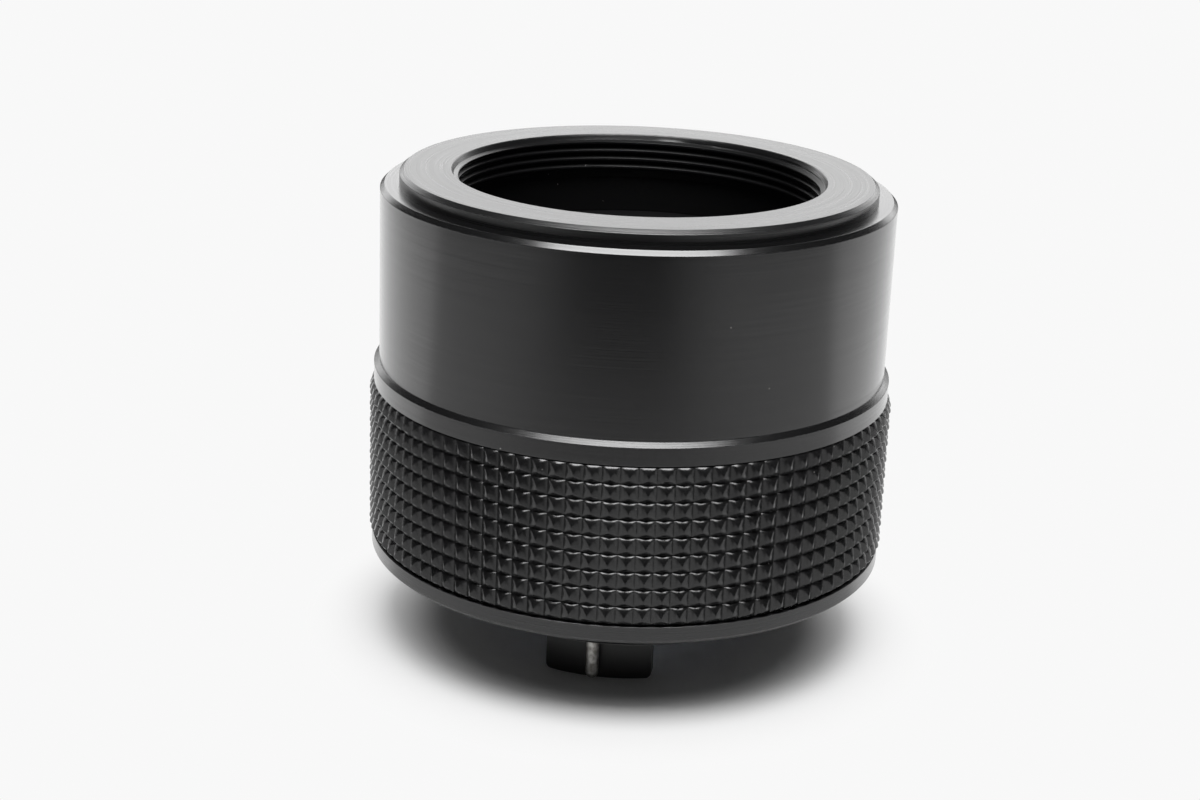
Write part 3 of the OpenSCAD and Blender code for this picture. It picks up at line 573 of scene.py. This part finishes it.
rubber, rubber_tree, rubber_shader, rubber_place = surface("MouldedBlackRubber", RUBBER_COLOUR, 0.27, ior=1.5)
rubber_grain = noise(rubber_tree, rubber_place, 5200.0, 4.0)
rubber_cloud = noise(rubber_tree, rubber_place, 260.0, 3.0)
rubber_dust = add(rubber_tree, "ShaderNodeGroup", {"Vector": rubber_place}, node_tree=dust_specks)
rubber_tone = tinted(rubber_tree, rubber_cloud, RUBBER_DARK, RUBBER_PALE)
rubber_tone = tinted(rubber_tree, rubber_dust.outputs["Mask"], rubber_tone, RUBBER_DUST)
rubber_tree.links.new(rubber_tone, rubber_shader.inputs["Base Color"])
rubber_gloss = ranged(rubber_tree, rubber_cloud, target=(0.15, 0.24))
rubber_tree.links.new(rubber_gloss, rubber_shader.inputs["Roughness"])
bumped(rubber_tree, rubber_shader, rubber_grain, 0.15, MARK_DEPTH)
grip_rubber.data.materials.append(rubber)
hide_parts("grip_rubber")
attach(grip_rubber, "housing")

# Rear mount: the rim below the rubber, turned in one piece with the male camera thread's stub.
# Four countersunk screws hold it to the barrel's foot, and it is anodised like the front mount.
STUB_Z, SEAT_Z, RIM_Z = 5.9, 10.4, SKIRT_LOW
STUB_BORE_R, STUB_CHAMFER, STUB_ROWS, CAMERA_CREST = 19.6, 0.4, 80, 0.125
CAMERA_CUT_LOW_R, CAMERA_CUT_HIGH_R, CAMERA_CUT_Z = 20.5, 21.01, SEAT_Z - 0.35
CELL_SEAT_R, REAR_WEB_Z, REAR_SPIGOT_Z = 15.53, RIM_Z - 3.6, RIM_Z + 2.6
RIM_R, RIM_CHAMFER = 30.0, 0.45


def camera_thread(radius, z, angle):
    """The stub at its crests, with the groove cut inwards, running out at the rim."""
    groove = THREAD_R - THREAD_DEPTH * thread_wave(z, angle, CAMERA_CREST)
    wall = (radius > CAMERA_CUT_LOW_R) & (radius < CAMERA_CUT_HIGH_R) & (z < CAMERA_CUT_Z)
    return np.where(wall, np.minimum(radius, groove), radius)


rear_profile, rear_mark = soften(
    [
        (CELL_SEAT_R, REAR_WEB_Z), (STUB_BORE_R, REAR_WEB_Z), (STUB_BORE_R, STUB_Z),
        (THREAD_R - STUB_CHAMFER, STUB_Z), (THREAD_R, STUB_Z + STUB_CHAMFER), (THREAD_R, SEAT_Z),
        (RIM_R - RIM_CHAMFER, SEAT_Z),
        (RIM_R, SEAT_Z + RIM_CHAMFER), (RIM_R, RIM_Z), (REAR_SPIGOT_R, RIM_Z), (REAR_SPIGOT_R, REAR_SPIGOT_Z),
        (RELIEF_R, REAR_SPIGOT_Z), (RELIEF_R, RIM_Z), (CELL_SEAT_R, RIM_Z),
    ],
    EDGE_R,
)
rear_profile, rear_mark = fill_wall(rear_profile, rear_mark, THREAD_R, STUB_ROWS)
rear_mount = lathe("rear_mount_ring", rear_profile, rear_mark, camera_thread)
rear_mount.data.materials.append(black_mount)
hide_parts("rear_mount")
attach(rear_mount, "housing")

# Rear guard: a ring inside the stub with three curved tabs that shield the pin and the rear glass.
# It is black anodised aluminium, held by three small screws.
black_guard = turned_finish("BlackGuard", (0.007, 0.007, 0.0072), 0.36, 3500.0, 0.3)
dress("rear_guard", black_guard)

# Studio: a white table that the converter stands on, with soft white light from above and behind.
# The table glows plain white for the camera and reflections, except close under the converter, where it is
# lit and keeps the shadow.
# A dark card lies towards the camera, seen only in reflections: a painted reflection of the shade towards the
# camera, which keeps the barrel's front black.
WHITE = 0.94
SHADOW_REACH, TABLE_REACH, TABLE_FAR = (0.0205, 0.0375), (0.24, 0.34), 0.06
CARD_NEAR, CARD_SIDES, CARD_SHIFT = (-0.06, -0.21), (0.15, 0.06), 0.02
LAMP_AIM = (0.0, 0.0, 0.03)
bpy.context.scene.view_settings.view_transform = "Standard"


def mixed(tree, share, low, high):
    """Goes from a low number to a high one by a share; each is a plain number or a socket."""
    return add(tree, "ShaderNodeMix", {"Factor": share, 2: low, 3: high}).outputs[0]


def card(name, low, high, z):
    """A flat rectangle at a height, from its low corner to its high corner, in metres."""
    x = np.array([low[0], high[0], high[0], low[0]])
    y = np.array([low[1], low[1], high[1], high[1]])
    points = np.stack([x, y, np.full(4, z)], axis=-1) / MILLI
    return joined(name, points, np.arange(4)[None, :])


table = card("white_table", (-4.0, -4.0), (4.0, 4.0), 0.0)
white, white_tree, white_shader, white_place = surface("WhiteTable", (0.9, 0.9, 0.9), 0.9)
white_shader.inputs["Specular IOR Level"].default_value = 0.0
white_far = add(white_tree, "ShaderNodeVectorMath", {0: white_place}, operation="LENGTH").outputs["Value"]
# Painted light: the glow fades in across the shadow's outer part, from 20.5 to 37.5 mm out, and trims the
# shadow's edge.
white_fade = ranged(white_tree, white_far, SHADOW_REACH, blend="SMOOTHSTEP")
# Painted reflection: in reflections the table's glow is full near the converter and dims far off.
white_end = ranged(white_tree, white_far, TABLE_REACH, (1.0, TABLE_FAR))
white_path = add(white_tree, "ShaderNodeLightPath").outputs
white_seen = maths(white_tree, "MAXIMUM", white_path["Is Camera Ray"], white_path["Is Transmission Ray"])
white_seen = maths(white_tree, "MAXIMUM", white_seen, white_path["Is Glossy Ray"])
white_share = maths(white_tree, "MULTIPLY", white_seen, white_fade)
white_level = mixed(white_tree, white_path["Is Glossy Ray"], 1.0, white_end)
white_paint = {"Color": (WHITE, WHITE, WHITE, 1.0), "Strength": white_level}
white_glow = add(white_tree, "ShaderNodeEmission", white_paint)
white_both = {0: white_share, 1: white_shader.outputs[0], 2: white_glow.outputs[0]}
white_mix = add(white_tree, "ShaderNodeMixShader", white_both)
white_tree.links.new(white_mix.outputs[0], white_tree.nodes["Material Output"].inputs["Surface"])
table.data.materials.append(white)

flag = card("dark_card", (-0.2, -0.6), (0.2, -0.06), 0.0005)
flag.visible_camera = False
flag.visible_diffuse = False
flag.visible_shadow = False
dark, dark_tree, dark_shader, dark_place = surface("DarkCard", (0.01, 0.01, 0.01), 0.9)
dark_way = add(dark_tree, "ShaderNodeSeparateXYZ", {0: dark_place}).outputs
# Painted shade in reflections: the card darkens from 6 to 21 cm towards the camera and fades out towards its
# sides.
dark_near = ranged(dark_tree, dark_way[1], CARD_NEAR)
dark_off = maths(dark_tree, "ABSOLUTE", maths(dark_tree, "ADD", dark_way[0], CARD_SHIFT))
dark_side = ranged(dark_tree, dark_off, CARD_SIDES)
dark_tree.links.new(maths(dark_tree, "MULTIPLY", dark_near, dark_side), dark_shader.inputs["Alpha"])
flag.data.materials.append(dark)


def lamp(name, size, place, aim, watts):
    """A rectangular soft light at a place, turned so that it shines towards the aim."""
    data = bpy.data.lights.new(name, "AREA")
    data.shape = "RECTANGLE"
    data.size, data.size_y = size
    data.energy = watts
    away = np.array(place, float) - np.array(aim, float)
    away /= np.linalg.norm(away)
    side = np.cross((0.0, 1.0, 0.0) if abs(away[2]) > 0.9 else (0.0, 0.0, 1.0), away)
    side /= np.linalg.norm(side)
    turned = Matrix(np.column_stack([side, np.cross(away, side), away]).tolist()).to_4x4()
    piece = bpy.data.objects.new(name, data)
    piece.matrix_world = Matrix.Translation(place) @ turned
    piece.visible_camera = False
    bpy.context.scene.collection.objects.link(piece)
    return piece


lamp("overhead_strip", (0.95, 0.5), (0.0, -0.33, 1.0), LAMP_AIM, 20.0).visible_diffuse = False
lamp("back_softbox", (1.6, 0.5), (0.0, 1.0, 0.42), LAMP_AIM, 5.3).visible_diffuse = False
lamp("back_bounce", (0.6, 0.3), (0.0, 0.15, 0.0006), (0.0, 0.15, 1.0), 0.34).visible_diffuse = False
lamp("key_light", (0.55, 0.55), (0.03, -0.3, 1.0), LAMP_AIM, 10.0).visible_glossy = False

ROOM_BEHIND, ROOM_LOW, ROOM_SHINE, ROOM_DIFFUSE = (0.25, 0.7), (0.3, 0.05), (0.05, 1.05), 0.06

world = bpy.data.worlds.new("WhiteRoom")
bpy.context.scene.world = world
world.use_nodes = True
room = world.node_tree
room_light = room.nodes["Background"]
room_light.inputs["Color"].default_value = (1.0, 1.0, 1.0, 1.0)
room_place = room.nodes.new("ShaderNodeTexCoord").outputs["Generated"]
room_way = add(room, "ShaderNodeSeparateXYZ", {0: room_place}).outputs
room_behind = ranged(room, room_way[1], ROOM_BEHIND)
room_low = ranged(room, room_way[2], ROOM_LOW)
room_wall = maths(room, "MULTIPLY", room_behind, room_low)
room_shine = ranged(room, room_wall, target=ROOM_SHINE)
room_path = add(room, "ShaderNodeLightPath").outputs
room_soft = mixed(room, room_path["Is Diffuse Ray"], room_shine, ROOM_DIFFUSE)
room_level = mixed(room, room_path["Is Camera Ray"], room_soft, WHITE)
room.links.new(room_level, room_light.inputs["Strength"])

# Camera: at the photograph's height and distance, found from the circles of the object's edges.
CAMERA_PLACE = (0.0, -0.23357, 0.10641)
CAMERA_RIGHT = (0.998946, 0.027331, 0.036874)
CAMERA_UP = (-0.043671, 0.318755, 0.946831)
CAMERA_BACK = (0.014124, -0.947443, 0.319612)
camera_data = bpy.data.cameras.new("camera")
camera_data.sensor_width = 36.0
camera_data.lens = 63.09
camera_data.clip_start = 0.01
camera = bpy.data.objects.new("camera", camera_data)
camera_turn = Matrix(np.column_stack([CAMERA_RIGHT, CAMERA_UP, CAMERA_BACK]).tolist()).to_4x4()
camera.matrix_world = Matrix.Translation(CAMERA_PLACE) @ camera_turn
bpy.context.scene.collection.objects.link(camera)
bpy.context.scene.camera = camera
